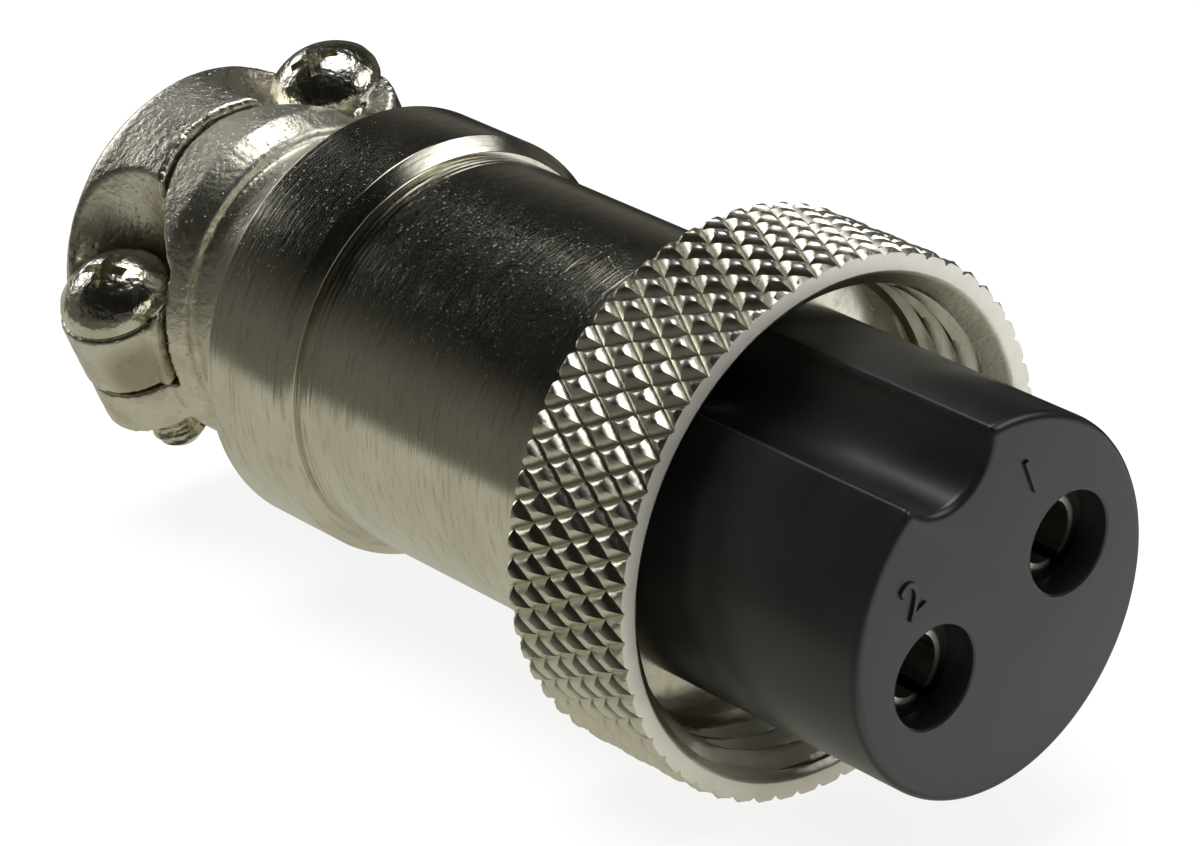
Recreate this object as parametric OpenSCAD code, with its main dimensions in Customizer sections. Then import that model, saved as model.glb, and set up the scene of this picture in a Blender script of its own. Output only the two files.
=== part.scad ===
// Two-pole aviation plug, cable end, with socket contacts.
// The plug's axis is X and its mating face is at x = 0, looking toward +X.
// It lies as it comes to rest, on its coupling ring and its rear collar.
// Across the axis every size follows from the coupling thread, by walls, steps and clearances.

/* [Coupling ring] */
// Nominal diameter of the coupling thread
thread_d = 16.0; // [13.5:0.5:22]
// Pitch of the coupling thread
thread_pitch = 1.0; // [0.75:0.25:1.5]
// Wall of the ring between its thread and the knurl's tips
ring_wall = 0.9; // [0.6:0.05:2]
// Length of the ring
ring_len = 5.0; // [4:0.1:8]
// Thickness of the lip that rides on the barrel
lip_t = 1.0; // [0.7:0.05:1.5]
// Length of the relief between the thread and the lip
relief_len = 0.6; // [0.4:0.05:1]
// How far the mouth's bevel is wider than the thread
mouth_rim = 0.2; // [0.1:0.05:0.4]
// Edge break at both ends of the knurl
ring_edge = 0.25; // [0.1:0.05:0.35]

/* [Insert] */
// Room round the nose for the mating shell, inside the thread
shell_room = 1.36; // [1:0.02:2]
// Length of the nose ahead of the sleeve's flange
nose_len = 10.2; // [8:0.1:14]
// Rounding of the nose's front edge
nose_edge = 0.3; // [0.1:0.05:0.8]
// Radius of the keyway's round bottom
key_r = 1.95; // [1.2:0.05:2.4]
// Depth of the keyway
key_depth = 1.45; // [1:0.05:2]
// Wall outside a contact's stem at the insert's rear part
stem_wall = 0.85; // [0.6:0.05:1.1]
// How far the rear part stops short of the sleeve's end
stem_short = 0.1; // [0:0.1:1]

/* [Contacts] */
// Diameter of the contact holes in the nose
contact_hole_d = 3.25; // [2.8:0.05:4]
// Diameter of the hole for a contact's stem
stem_hole_d = 2.4; // [2:0.05:2.9]
// Distance from the mating face back to a contact's rim
contact_recess = 1.0; // [0.5:0.1:2]
// Bore that takes the mating pin
pin_bore_d = 2.05; // [1.5:0.05:2.5]
// Solid metal between the pin's bore and the stem
bore_floor = 1.2; // [0.8:0.1:2]
// Width of the lead-in round the pin's bore
pin_lead = 0.25; // [0.1:0.05:0.3]
// Width of the spring slot across a contact
slot_w = 0.4; // [0.2:0.05:0.6]
// Length of the pin's bore behind the slot
slot_stop = 2.5; // [1.5:0.1:4]
// Length of a stem behind the insert, with its solder cup
cup_len = 4.2; // [3:0.1:6]
// Wall of the solder cup
cup_wall = 0.37; // [0.2:0.01:0.5]
// Solid metal between the insert's rear face and the cup's floor
cup_floor = 1.2; // [0:0.1:1.5]
// Length of the cup's open side
cup_open = 2.5; // [1.5:0.1:2.8]

/* [Sleeve] */
// Gap between the sleeve's flange and the coupling thread
flange_gap = 0.26; // [0.1:0.02:0.4]
// Thickness of the flange that stops the ring
flange_t = 0.7; // [0.5:0.05:1.2]
// Length of the sleeve's thread
sleeve_len = 6.0; // [4.5:0.1:8]
// Wall of the sleeve round the insert
sleeve_wall = 0.8; // [0.6:0.05:1.1]
// Diameter of the small screw that holds the insert
lock_screw_d = 1.6; // [1.2:0.1:2]
// Distance from the sleeve's end to that screw's axis
lock_screw_end = 2.0; // [1.2:0.1:3]
// How deep that screw goes into the insert
lock_depth = 1.2; // [0.8:0.1:1.6]
// How far that screw's top lies under the sleeve's thread
lock_sink = 0.1; // [0.05:0.05:0.4]
// Width of that screw's slot
lock_slot_w = 0.3; // [0.2:0.05:0.4]
// Depth of that screw's slot
lock_slot_depth = 0.35; // [0.2:0.05:0.5]

/* [Barrel] */
// How far the flange stands over the barrel
flange_rim = 0.6; // [0.4:0.05:0.8]
// Length of the barrel between the flange and the collar
barrel_len = 13.6; // [11:0.1:20]
// Wall of the barrel over the sleeve's thread
barrel_wall = 0.7; // [0.5:0.05:0.95]
// Rounding of the barrel's front edge
barrel_edge = 0.15; // [0.05:0.05:0.3]
// Length of the bored thread's run-out behind the sleeve
thread_run = 0.5; // [0.2:0.1:1]
// How far the rear thread lies under the barrel's surface
tail_step = 0.5; // [0.4:0.05:0.6]
// Wall of the barrel at its rear thread
tail_wall = 0.5; // [0.4:0.05:0.8]
// Length of the rear thread
tail_thread_len = 2.7; // [2:0.1:4]

/* [Rear collar] */
// Wall of the collar over the barrel's rear thread
collar_wall = 1.1; // [0.8:0.05:1.8]
// Thickness of the lip that holds the clamp
collar_lip = 0.55; // [0.4:0.05:0.9]
// Chamfer at the collar's front
collar_chamfer = 0.45; // [0.2:0.05:0.6]
// Edge break at the collar's back
collar_edge = 0.2; // [0.1:0.05:0.35]

/* [Cable clamp] */
// Play round the clamp's trapped flange
clamp_play = 0.15; // [0.05:0.05:0.3]
// Thickness of that flange
clamp_flange_t = 0.65; // [0.5:0.05:1]
// How far that flange stands over the neck
neck_step = 0.8; // [0.5:0.05:1.1]
// Gap between the collar and the clamp's hood
neck_gap = 3.2; // [1.5:0.1:4.5]
// Wall of the neck round the cable
neck_wall = 1.25; // [0.9:0.05:1.6]
// Length of the hood ahead of the strap, along its top
hood_len = 3.0; // [2:0.1:5]
// How far the hood's front edge stands over the neck
hood_step = 0.35; // [0.2:0.05:0.6]
// How far the hood swells behind its front edge
hood_swell = 0.35; // [0.1:0.05:0.5]
// Length of that swelling
hood_swell_len = 0.9; // [0.5:0.1:1.5]
// Edge break at the hood's front
hood_edge = 0.1; // [0.05:0.05:0.2]
// Wall of the two jaws round the cable
jaw_wall = 2.1; // [1.8:0.05:2.6]
// Length of the jaws behind the hood
jaw_len = 3.0; // [2.5:0.1:5]
// Rounding of the jaws' back edges
jaw_edge = 0.5; // [0.2:0.05:0.8]
// Gap between the strap and the lower jaw
jaw_gap = 0.2; // [0.1:0.05:1]
// Width of the strap's prongs beside its scooped front
scoop_side = 0.5; // [0.3:0.05:1]
// Length of the prongs ahead of the screws' lugs
strap_lead = 0.2; // [0.1:0.05:0.5]
// Depth of the lower lugs under the parting plane
lug_depth = 1.8; // [1.2:0.1:3]
// How far a lug stands out past a screw's head
lug_rim = 0.1; // [0.05:0.05:0.4]

/* [Clamp screws] */
// Wall between the cable's bore and a screw
screw_wall = 0.325; // [0.25:0.025:0.8]
// Distance from the hood's end back to the screws' axes
screw_back = 0.2; // [-0.3:0.05:0.5]
// Diameter of the screws' shanks
shank_d = 1.95; // [1.6:0.05:2.4]
// Length of the shanks
shank_len = 6.3; // [5:0.1:7.6]
// Chamfer at the shanks' tips
shank_tip = 0.3; // [0.1:0.05:0.5]
// Diameter of the screws' heads
head_d = 3.9; // [3.2:0.1:4.7]
// Height of the screws' heads
head_h = 1.5; // [1:0.1:1.8]
// Height of a head's upright side
head_side = 0.5; // [0.2:0.05:0.8]
// Height of the heads' seats above the parting plane
seat_z = 2.4; // [1.8:0.1:3]
// Room round a head in its pocket
pocket_room = 0.15; // [0.05:0.05:0.3]
// Draft of the pockets, as width per height
pocket_draft = 0.3; // [0.1:0.05:0.5]
// How far the second screw stands off its seat
screw_2_out = 0.9; // [0:0.1:1.2]

/* [Rest] */
// Roll about the axis as it lies, where the knurl holds it; a screw's tip meets the ground at 34
lie_roll = 26; // [0:1:32]

/* [Clearances] */
// Radial clearance of a running fit
run_fit = 0.1; // [0.05:0.01:0.15]
// Radial clearance of a pressed or threaded fit
close_fit = 0.03; // [0.02:0.01:0.06]
// End clearance between faces that slide
end_fit = 0.05; // [0.02:0.01:0.1]

/* [Hidden] */
$fn = 96;
eps = 0.01;
over = 1;
arc_steps = 8;

// Radii from the coupling thread inward and outward
thread_depth = 0.54 * thread_pitch;
root_r = thread_d / 2;
crest_r = root_r - thread_depth;
mouth_r = root_r + mouth_rim;
ring_r = root_r + ring_wall;
nose_r = crest_r - shell_room;
flange_r = crest_r - flange_gap;
barrel_r = flange_r - flange_rim;
sleeve_r = barrel_r - barrel_wall;
stem_r = sleeve_r - sleeve_wall;
tail_thread_r = barrel_r - tail_step;
barrel_bore_r = tail_thread_r - tail_wall;
collar_r = tail_thread_r + collar_wall;
clamp_flange_r = tail_thread_r - clamp_play;
neck_r = clamp_flange_r - neck_step;
cable_r = neck_r - neck_wall;
hood_edge_r = neck_r + hood_step;
hood_r = hood_edge_r + hood_swell;
jaw_r = cable_r + jaw_wall;

// Contacts and the holes that take them
key_offset = nose_r - key_depth + key_r;
contact_y = stem_r - stem_wall - stem_hole_d / 2;
contact_r = contact_hole_d / 2 - close_fit;
contact_stem_r = stem_hole_d / 2 - close_fit;
pin_bore_r = pin_bore_d / 2;
pin_bore_depth = nose_len - contact_recess - bore_floor;
cup_bore_r = contact_stem_r - cup_wall;

// Clamp and its screws
shank_r = shank_d / 2;
head_r = head_d / 2;
lug_r = head_r + lug_rim;
screw_y = cable_r + screw_wall + shank_r;
scoop_r = jaw_r - scoop_side;
big = 6 * jaw_r;

// Places along the axis, from the mating face backward
flange_x = -nose_len;
barrel_x = flange_x - flange_t;
ring_back_x = barrel_x - end_fit - lip_t;
ring_front_x = ring_back_x + ring_len;
sleeve_back_x = barrel_x - sleeve_len;
stem_back_x = sleeve_back_x + stem_short;
lock_screw_x = sleeve_back_x + lock_screw_end;
cup_back_x = stem_back_x - cup_len;
collar_x = barrel_x - barrel_len;
tail_thread_x = collar_x - tail_thread_len;
clamp_front_x = tail_thread_x - end_fit;
clamp_flange_back_x = clamp_front_x - clamp_flange_t;
collar_lip_x = clamp_flange_back_x - end_fit;
collar_back_x = collar_lip_x - collar_lip;
hood_x = collar_back_x - neck_gap;
hood_back_x = hood_x - hood_len;
tail_x = hood_back_x - jaw_len;
screw_x = hood_back_x - screw_back;
scoop_x = hood_back_x + scoop_r;
strap_front_x = screw_x + lug_r + strap_lead;

module lying() {
    rotate([lie_roll, 0, 0]) children();
}

// Turns an outline of [radius, x] points about the plug's axis
module turned(outline) {
    rotate([0, 90, 0]) rotate_extrude() polygon(outline);
}

module rod_x(x_back, x_front, r) {
    translate([x_back, 0, 0]) rotate([0, 90, 0]) cylinder(h = x_front - x_back, r = r);
}

// Points on a round edge from angle a to b, for a turned outline
function round_pts(r_centre, x_centre, r, a, b) =
    [for (i = [0:arc_steps]) let (t = a + (b - a) * i / arc_steps) [r_centre + r * cos(t), x_centre + r * sin(t)]];

// Insert

module keyway() {
    translate([flange_x, 0, key_offset]) rotate([0, 90, 0]) cylinder(h = nose_len + over, r = key_r);
}

module insert() {
    rear_r = stem_r - close_fit;
    color("#2a2a2a") lying() difference() {
        turned(concat(
            [[0, stem_back_x], [rear_r, stem_back_x], [rear_r, flange_x], [nose_r, flange_x]],
            round_pts(nose_r - nose_edge, -nose_edge, nose_edge, 0, 90),
            [[0, 0]]));
        keyway();
        for (side = [-1, 1]) translate([0, side * contact_y, 0]) {
            rod_x(flange_x, over, contact_hole_d / 2);
            rod_x(stem_back_x - over, flange_x + over, stem_hole_d / 2);
        }
        lock_hole(stem_r - lock_depth);
    }
}

// Contacts

module contact(side) {
    rim_x = -contact_recess;
    bore_x = rim_x - pin_bore_depth;
    color("#d8d4c4") lying() translate([0, side * contact_y, 0]) difference() {
        union() {
            rod_x(flange_x, rim_x, contact_r);
            rod_x(cup_back_x, flange_x + eps, contact_stem_r);
        }
        rod_x(bore_x, over, pin_bore_r);
        translate([rim_x, 0, 0]) rotate([0, 90, 0])
            cylinder(h = 2 * pin_lead, r1 = pin_bore_r - pin_lead, r2 = pin_bore_r + pin_lead, center = true);
        translate([bore_x + slot_stop, -slot_w / 2, -contact_hole_d])
            cube([pin_bore_depth, slot_w, 2 * contact_hole_d]);
        rod_x(cup_back_x - over, stem_back_x - cup_floor, cup_bore_r);
        translate([cup_back_x - over, -contact_hole_d, 0])
            cube([cup_open + over, 2 * contact_hole_d, contact_hole_d]);
    }
}

module contact_1() {
    contact(1);
}

module contact_2() {
    contact(-1);
}

// Sleeve that carries the insert, and its screw

module lock_hole(z_low) {
    translate([lock_screw_x, 0, z_low]) cylinder(h = 2 * stem_r, r = lock_screw_d / 2 + close_fit);
}

module insert_sleeve() {
    thread_r = sleeve_r - close_fit;
    color("#c9c6bb") lying() difference() {
        turned([[stem_r, sleeve_back_x], [thread_r, sleeve_back_x], [thread_r, barrel_x],
                [flange_r, barrel_x], [flange_r, flange_x], [stem_r, flange_x]]);
        lock_hole(0);
    }
}

module lock_screw() {
    lock_low = stem_r - lock_depth + end_fit;
    lock_top = sleeve_r - close_fit - lock_sink;
    color("#8f8d86") lying() translate([lock_screw_x, 0, 0]) difference() {
        translate([0, 0, lock_low]) cylinder(h = lock_top - lock_low, d = lock_screw_d);
        translate([-lock_screw_d, -lock_slot_w / 2, lock_top - lock_slot_depth])
            cube([2 * lock_screw_d, lock_slot_w, over]);
    }
}

// Coupling ring

module coupling_ring() {
    lip_front_x = ring_back_x + lip_t;
    relief_x = lip_front_x + relief_len;
    bore_r = barrel_r + run_fit;
    color("#c4c1b4") lying() turned([
        [bore_r, ring_back_x], [ring_r - ring_edge, ring_back_x], [ring_r, ring_back_x + ring_edge],
        [ring_r, ring_front_x - ring_edge], [ring_r - ring_edge, ring_front_x], [mouth_r, ring_front_x],
        [crest_r, ring_front_x - mouth_r + crest_r], [crest_r, relief_x], [root_r, relief_x],
        [root_r, lip_front_x], [bore_r, lip_front_x]]);
}

// Barrel

module barrel() {
    front_bore_r = sleeve_r + close_fit;
    run_x = sleeve_back_x - thread_run;
    color("#b9b6aa") lying() turned([
        [front_bore_r, barrel_x], [front_bore_r, run_x], [barrel_bore_r, run_x - front_bore_r + barrel_bore_r],
        [barrel_bore_r, tail_thread_x], [tail_thread_r, tail_thread_x], [tail_thread_r, collar_x],
        [barrel_r, collar_x], [barrel_r, barrel_x - barrel_edge], [barrel_r - barrel_edge, barrel_x]]);
}

// Rear collar

module rear_collar() {
    thread_r = tail_thread_r + close_fit;
    lip_r = neck_r + run_fit;
    color("#b9b6aa") lying() turned([
        [thread_r, collar_x], [thread_r, collar_lip_x], [lip_r, collar_lip_x], [lip_r, collar_back_x],
        [collar_r - collar_edge, collar_back_x], [collar_r, collar_back_x + collar_edge],
        [collar_r, collar_x - collar_chamfer], [collar_r - collar_chamfer, collar_x]]);
}

// Cable clamp

// Both jaws as one turned form, before they are parted
module jaw_tube(x_front) {
    turned(concat(
        [[cable_r, x_front], [cable_r, tail_x]],
        round_pts(jaw_r - jaw_edge, tail_x + jaw_edge, jaw_edge, -90, 0),
        [[jaw_r, x_front]]));
}

// Places its children at both screws, z above the parting plane
module at_screws(z) {
    for (side = [-1, 1]) translate([screw_x, side * screw_y, z]) children();
}

// Lugs round the two screws, from z_low to z_high, clear of the cable
module lugs(z_low, z_high) {
    difference() {
        union() {
            at_screws(z_low) cylinder(h = z_high - z_low, r = lug_r);
            for (side = [-1, 1]) translate([screw_x, side * (cable_r + screw_y) / 2, (z_low + z_high) / 2])
                cube([2 * lug_r, screw_y - cable_r, z_high - z_low], center = true);
        }
        rod_x(tail_x, strap_front_x, cable_r);
    }
}

// Everything on one side of the plane z = 0: above it for side 1, below for side -1
module half_space(side) {
    translate([tail_x, 0, side * big / 2]) cube([2 * big, big, big], center = true);
}

// Upright cylinder whose back edge is the strap's scooped front
module scoop(r) {
    translate([scoop_x, 0, -over]) cylinder(h = big, r = r);
}

module clamp_body() {
    color("#bab6a8") lying() difference() {
        union() {
            turned([
                [cable_r, clamp_front_x], [cable_r, hood_x - eps], [neck_r, hood_x - eps],
                [neck_r, clamp_flange_back_x], [clamp_flange_r, clamp_flange_back_x],
                [clamp_flange_r, clamp_front_x]]);
            difference() {
                turned([
                    [cable_r, hood_x], [cable_r, hood_back_x], [hood_r, hood_back_x],
                    [hood_r, hood_x - hood_edge - hood_swell_len], [hood_edge_r, hood_x - hood_edge],
                    [hood_edge_r - hood_edge, hood_x]]);
                difference() {
                    translate([0, 0, -jaw_gap / 2]) half_space(1);
                    scoop(scoop_r - jaw_gap);
                    rod_x(strap_front_x + jaw_gap, 0, big / 2);
                }
            }
            difference() {
                union() {
                    jaw_tube(hood_back_x + eps);
                    lugs(-lug_depth, 0);
                }
                translate([0, 0, -jaw_gap / 2]) half_space(1);
            }
        }
        at_screws(-big / 2) cylinder(h = big, r = shank_r + close_fit);
    }
}

module clamp_strap() {
    pocket_r = head_r + pocket_room;
    color("#c2beb0") lying() difference() {
        union() {
            jaw_tube(strap_front_x);
            lugs(0, seat_z);
        }
        translate([0, 0, jaw_gap / 2]) half_space(-1);
        scoop(scoop_r);
        at_screws(-big / 2) cylinder(h = big, r = shank_r + run_fit);
        at_screws(seat_z) cylinder(h = jaw_r, r1 = pocket_r, r2 = pocket_r + pocket_draft * jaw_r);
    }
}

// Clamp screws

module clamp_screw(side, z) {
    dome_h = head_h - head_side;
    dome_r = (pow(head_r, 2) + pow(dome_h, 2)) / (2 * dome_h);
    dome_a = asin(head_r / dome_r);
    color("#cfccc0") lying() translate([screw_x, side * screw_y, z]) rotate_extrude() polygon(concat(
        [[0, -shank_len], [shank_r - shank_tip, -shank_len], [shank_r, -shank_len + shank_tip],
         [shank_r, 0], [head_r, 0]],
        round_pts(0, head_h - dome_r, dome_r, 90 - dome_a, 90)));
}

module clamp_screw_1() {
    clamp_screw(-1, seat_z);
}

module clamp_screw_2() {
    clamp_screw(1, seat_z + screw_2_out);
}

insert();
contact_1();
contact_2();
insert_sleeve();
lock_screw();
coupling_ring();
barrel();
rear_collar();
clamp_body();
clamp_strap();
clamp_screw_1();
clamp_screw_2();
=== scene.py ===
import math

import bmesh
import bpy
from mathutils import Matrix, Vector


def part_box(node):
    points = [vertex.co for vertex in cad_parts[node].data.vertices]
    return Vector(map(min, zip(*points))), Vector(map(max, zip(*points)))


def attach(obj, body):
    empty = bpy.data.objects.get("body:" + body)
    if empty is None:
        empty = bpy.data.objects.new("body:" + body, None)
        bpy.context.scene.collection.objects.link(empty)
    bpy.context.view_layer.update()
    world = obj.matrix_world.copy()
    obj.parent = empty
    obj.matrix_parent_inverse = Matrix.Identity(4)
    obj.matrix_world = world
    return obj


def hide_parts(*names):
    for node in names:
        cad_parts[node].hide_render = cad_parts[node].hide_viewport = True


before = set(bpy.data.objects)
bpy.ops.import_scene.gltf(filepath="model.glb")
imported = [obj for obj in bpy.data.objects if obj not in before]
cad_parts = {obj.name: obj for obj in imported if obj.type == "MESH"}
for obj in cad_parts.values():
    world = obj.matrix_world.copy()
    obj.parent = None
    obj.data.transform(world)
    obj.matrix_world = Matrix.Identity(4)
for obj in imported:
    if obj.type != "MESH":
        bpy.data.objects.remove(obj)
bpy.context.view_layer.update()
scene = bpy.context.scene
mm = 0.001

# How the plug lies, as in the part's source. The sizes below are in the plug's own frame, before this
# roll, with the keyway up and the mating face at x = 0.
lieRoll = 26
rollMatrix = Matrix.Rotation(math.radians(lieRoll), 4, "X")


def atPlug(x, y, z):
    return rollMatrix @ Vector((x, y, z))


# Node graphs

class Field:  # an output socket that can be written in a sum
    def __init__(self, graph, socket):
        self.graph = graph
        self.socket = socket

    def math(self, operation, *values):
        return self.graph.node("ShaderNodeMath", {"operation": operation}, dict(enumerate(values)))

    def __add__(self, other):
        return self.math("ADD", self, other)

    def __sub__(self, other):
        return self.math("SUBTRACT", self, other)

    def __mul__(self, other):
        return self.math("MULTIPLY", self, other)

    def __truediv__(self, other):
        return self.math("DIVIDE", self, other)

    def __rsub__(self, other):
        return self.math("SUBTRACT", other, self)

    def __rtruediv__(self, other):
        return self.math("DIVIDE", other, self)

    def __pow__(self, other):
        return self.math("POWER", self, other)

    def __abs__(self):
        return self.math("ABSOLUTE", self)

    __radd__ = __add__
    __rmul__ = __mul__

    def highest(self, other):
        return self.math("MAXIMUM", self, other)

    def lowest(self, other):
        return self.math("MINIMUM", self, other)

    def between(self, low, high):  # 0 at low, 1 at high, smooth from one to the other
        return self.graph.node("ShaderNodeMapRange", {"interpolation_type": "SMOOTHSTEP"},
                               {0: self, 1: low, 2: high, 3: 0.0, 4: 1.0})


class Graph:  # a shader or geometry tree and the few ways to add a node to it
    def __init__(self, tree):
        self.tree = tree

    def node(self, kind, settings=None, inputs=None, output=0):
        made = self.tree.nodes.new(kind)
        for name, value in (settings or {}).items():
            setattr(made, name, value)
        for name, value in (inputs or {}).items():
            if isinstance(value, Field):
                self.tree.links.new(value.socket, made.inputs[name])
            else:
                made.inputs[name].default_value = value
        if not made.outputs:
            return made
        return Field(self, made.outputs[output])

    def objectPlace(self):
        return self.node("ShaderNodeTexCoord", output="Object")

    def stretch(self, vector, x, y, z):  # scales each coordinate by its own factor
        return self.node("ShaderNodeVectorMath", {"operation": "MULTIPLY"}, {0: vector, 1: (x, y, z)})

    def noise(self, vector, scale, detail=3.0, rough=0.5):
        return self.node("ShaderNodeTexNoise", {"noise_dimensions": "3D"},
                         {"Vector": vector, "Scale": scale, "Detail": detail, "Roughness": rough})

    def cells(self, vector, scale):
        return self.node("ShaderNodeTexVoronoi", {"feature": "F1"}, {"Vector": vector, "Scale": scale})

    def mixColour(self, factor, first, second):
        return self.node("ShaderNodeMix", {"data_type": "RGBA"}, {0: factor, 6: first, 7: second}, output=2)

    def distance(self, first, second):
        return self.node("ShaderNodeVectorMath", {"operation": "DISTANCE"}, {0: first, 1: second},
                         output="Value")

    def bump(self, height, distance):
        return self.node("ShaderNodeBump", {}, {"Height": height, "Distance": distance, "Strength": 1.0})


def newFinish(name):
    material = bpy.data.materials.new(name)
    material.use_nodes = True
    material.node_tree.nodes.clear()
    return material, Graph(material.node_tree)


def surface(graph, inputs):
    shader = graph.node("ShaderNodeBsdfPrincipled", {}, inputs)
    graph.node("ShaderNodeOutputMaterial", {}, {"Surface": shader})


# Sizes from the frame

def span(node, axis=0):
    low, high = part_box(node)
    return low[axis], high[axis]


ringBack, ringFront = span("coupling_ring")
ringRadius = span("coupling_ring", 2)[1]
barrelRear, barrelFront = span("barrel")
barrelRadius = span("barrel", 2)[1]
collarBack, collarFront = span("rear_collar")
collarRadius = span("rear_collar", 2)[1]
noseRadius = span("insert", 2)[1]
print("frame: ring", round(ringBack / mm, 2), round(ringFront / mm, 2), "radius", round(ringRadius / mm, 2))


# Finishes

nickelTint = (0.74, 0.715, 0.605, 1)
nickelDark = (0.50, 0.475, 0.375, 1)


def turnedNickelFinish():
    look = {
        "rough": 0.14,
        "cloudRough": 0.08,              # what the clouds add to it
        "streakRough": 0.20,
        "lines": 6500,                   # turning marks along the axis, to a metre
        "around": 800,                   # how often a mark breaks off on its way round
        "rings": 11050,                  # finer marks that go nearly all the way round
        "ringBreaks": 20,
        "speck": 6500,
        "clouds": 420,
        "cloudShade": 0.30,
        "speckShade": 0.15,
        "streakShade": 0.32,
        "streakTint": (0.26, 0.245, 0.19, 1),
        "lineDepth": 0.012 * mm,
    }
    material, g = newFinish("turnedNickel")
    place = g.objectPlace()
    streaks = g.noise(g.stretch(place, look["lines"], look["around"], look["around"]), 1.0, 4.0, 0.65)
    rings = g.noise(g.stretch(place, look["rings"], look["ringBreaks"], look["ringBreaks"]), 1.0, 2.0)
    specks = g.cells(place, look["speck"]).between(0.16, 0.05)
    cloud = g.noise(place, look["clouds"], 3.0)
    shade = cloud.between(0.35, 0.70) * look["cloudShade"] + specks * look["speckShade"]
    tint = g.mixColour(shade, nickelTint, nickelDark)
    tint = g.mixColour(streaks.between(0.50, 0.66) * look["streakShade"], tint, look["streakTint"])
    rough = look["rough"] + cloud * look["cloudRough"] + (streaks - 0.5) * look["streakRough"]
    height = streaks * 0.6 + rings * 0.4 + specks * 0.3
    surface(g, {"Base Color": tint, "Metallic": 1.0, "Roughness": rough,
                "Normal": g.bump(height, look["lineDepth"])})
    return material


def knurledNickelFinish():
    look = {"rough": 0.24, "cloudRough": 0.14, "clouds": 900, "grain": 5200, "grainDepth": 0.010 * mm}
    material, g = newFinish("knurledNickel")
    place = g.objectPlace()
    grain = g.noise(place, look["grain"], 3.0, 0.6)
    cloud = g.noise(place, look["clouds"], 2.0)
    tint = g.mixColour(cloud.between(0.45, 0.75) * 0.4, nickelTint, nickelDark)
    surface(g, {"Base Color": tint, "Metallic": 1.0, "Roughness": look["rough"] + cloud * look["cloudRough"],
                "Normal": g.bump(grain, look["grainDepth"])})
    return material


def litFacedNickelFinish():  # the ring's cut front face: a faced finish, with a base paler than the nickel elsewhere as painted light, so the face reads bright all round
    look = {
        "rough": 0.50,
        "metallic": 0.85,
        "bright": (0.97, 0.945, 0.86, 1),
        "dull": (0.84, 0.81, 0.71, 1),
        "grain": 2600,
        "clouds": 600,
        "grainDepth": 0.010 * mm,
    }
    material, g = newFinish("litFacedNickel")
    place = g.objectPlace()
    grain = g.noise(place, look["grain"], 4.0, 0.6)
    cloud = g.noise(place, look["clouds"], 3.0)
    tint = g.mixColour(cloud.between(0.4, 0.7) * 0.35, look["bright"], look["dull"])
    surface(g, {"Base Color": tint, "Metallic": look["metallic"], "Roughness": look["rough"] + grain * 0.12,
                "Normal": g.bump(grain, look["grainDepth"])})
    return material


def castNickelFinish(name, rough, paintedLugShadePlace, paintedLugShadeReach):
    look = {
        "grain": 3200,
        "grainDepth": 0.045 * mm,
        "pits": 4200,
        "clouds": 700,
        "cloudShade": 0.55,
        "cloudRough": 0.30,
        "paintedLugShade": (0.30, 0.25, 0.16, 1),
        "paintedLugShadeStrength": 0.7,
    }
    material, g = newFinish(name)
    place = g.objectPlace()
    grain = g.noise(place, look["grain"], 4.0, 0.62)
    pits = g.cells(place, look["pits"]).between(0.22, 0.05)
    cloud = g.noise(place, look["clouds"], 4.0, 0.6)
    tint = g.mixColour(cloud.between(0.42, 0.66) * look["cloudShade"], nickelTint, nickelDark)
    # painted shade: darker, browner colour round a point below the near screw's head, beside its lug
    edge = g.distance(place, tuple(paintedLugShadePlace)) + (cloud - 0.5) * paintedLugShadeReach
    tint = g.mixColour(edge.between(paintedLugShadeReach, paintedLugShadeReach * 0.4) * look["paintedLugShadeStrength"], tint, look["paintedLugShade"])
    spread = rough + (cloud - 0.5) * look["cloudRough"]
    surface(g, {"Base Color": tint, "Metallic": 1.0, "Roughness": spread,
                "Normal": g.bump(grain - pits * 0.35, look["grainDepth"])})
    return material


def screwNickelFinish():
    look = {"rough": 0.15, "fineRough": 0.12, "mottle": 1100, "fine": 6000, "mottleDepth": 0.11 * mm}
    material, g = newFinish("screwNickel")
    place = g.objectPlace()
    mottle = g.noise(place, look["mottle"], 3.0, 0.55)
    fine = g.noise(place, look["fine"], 2.0)
    tint = g.mixColour(mottle.between(0.45, 0.65) * 0.5, nickelTint, nickelDark)
    surface(g, {"Base Color": tint, "Metallic": 1.0, "Roughness": look["rough"] + fine * look["fineRough"],
                "Normal": g.bump(mottle + fine * 0.15, look["mottleDepth"])})
    return material


def plainSteelFinish():
    look = {
        "bright": (0.52, 0.51, 0.47, 1),
        "dull": (0.40, 0.39, 0.35, 1),
        "rough": 0.30,
        "depth": 0.01 * mm,
    }
    material, g = newFinish("platedSteel")
    cloud = g.noise(g.objectPlace(), 1400, 3.0)
    tint = g.mixColour(cloud, look["bright"], look["dull"])
    surface(g, {"Base Color": tint, "Metallic": 1.0, "Roughness": look["rough"] + cloud * 0.15,
                "Normal": g.bump(cloud, look["depth"])})
    return material


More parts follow.
